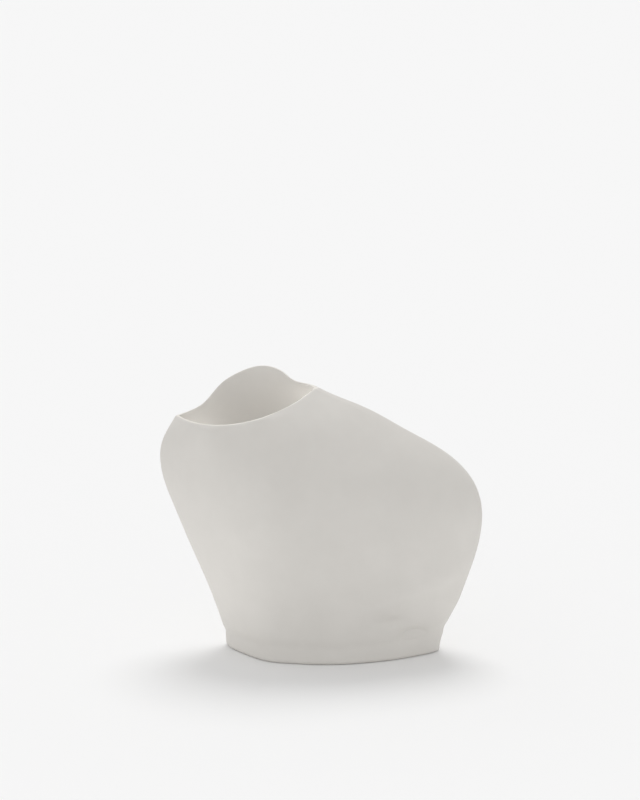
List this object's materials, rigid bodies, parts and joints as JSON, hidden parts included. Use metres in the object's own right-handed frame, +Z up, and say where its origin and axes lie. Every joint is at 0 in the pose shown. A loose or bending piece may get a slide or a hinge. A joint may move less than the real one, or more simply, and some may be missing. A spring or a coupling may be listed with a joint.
{
  "type": "pillow vase",
  "caption": "Slab-built bisque porcelain pillow vase: two bowed panels on a flat foot, with a wavy mouth cut across one shoulder, for cut or dried flowers.",
  "frame": {"origin": "on the surface that the vase stands on, in the plane of the side seams, midway between the two ends of the foot", "axes": "+Z up, +X to the right as seen from the front, +Y away from the viewer, so the front panel bows towards -Y"},
  "size_m": [0.2234, 0.1008, 0.196],
  "materials": {
    "porcelain": "unglazed bisque porcelain, matte, warm white"
  },
  "bodies": {
    "root": {"front_panel": "porcelain", "rear_panel": "porcelain", "floor_slab": "porcelain", "floor_coil": "porcelain", "left_seam_coil": "porcelain", "right_seam_coil": "porcelain"}
  },
  "joints": []
}
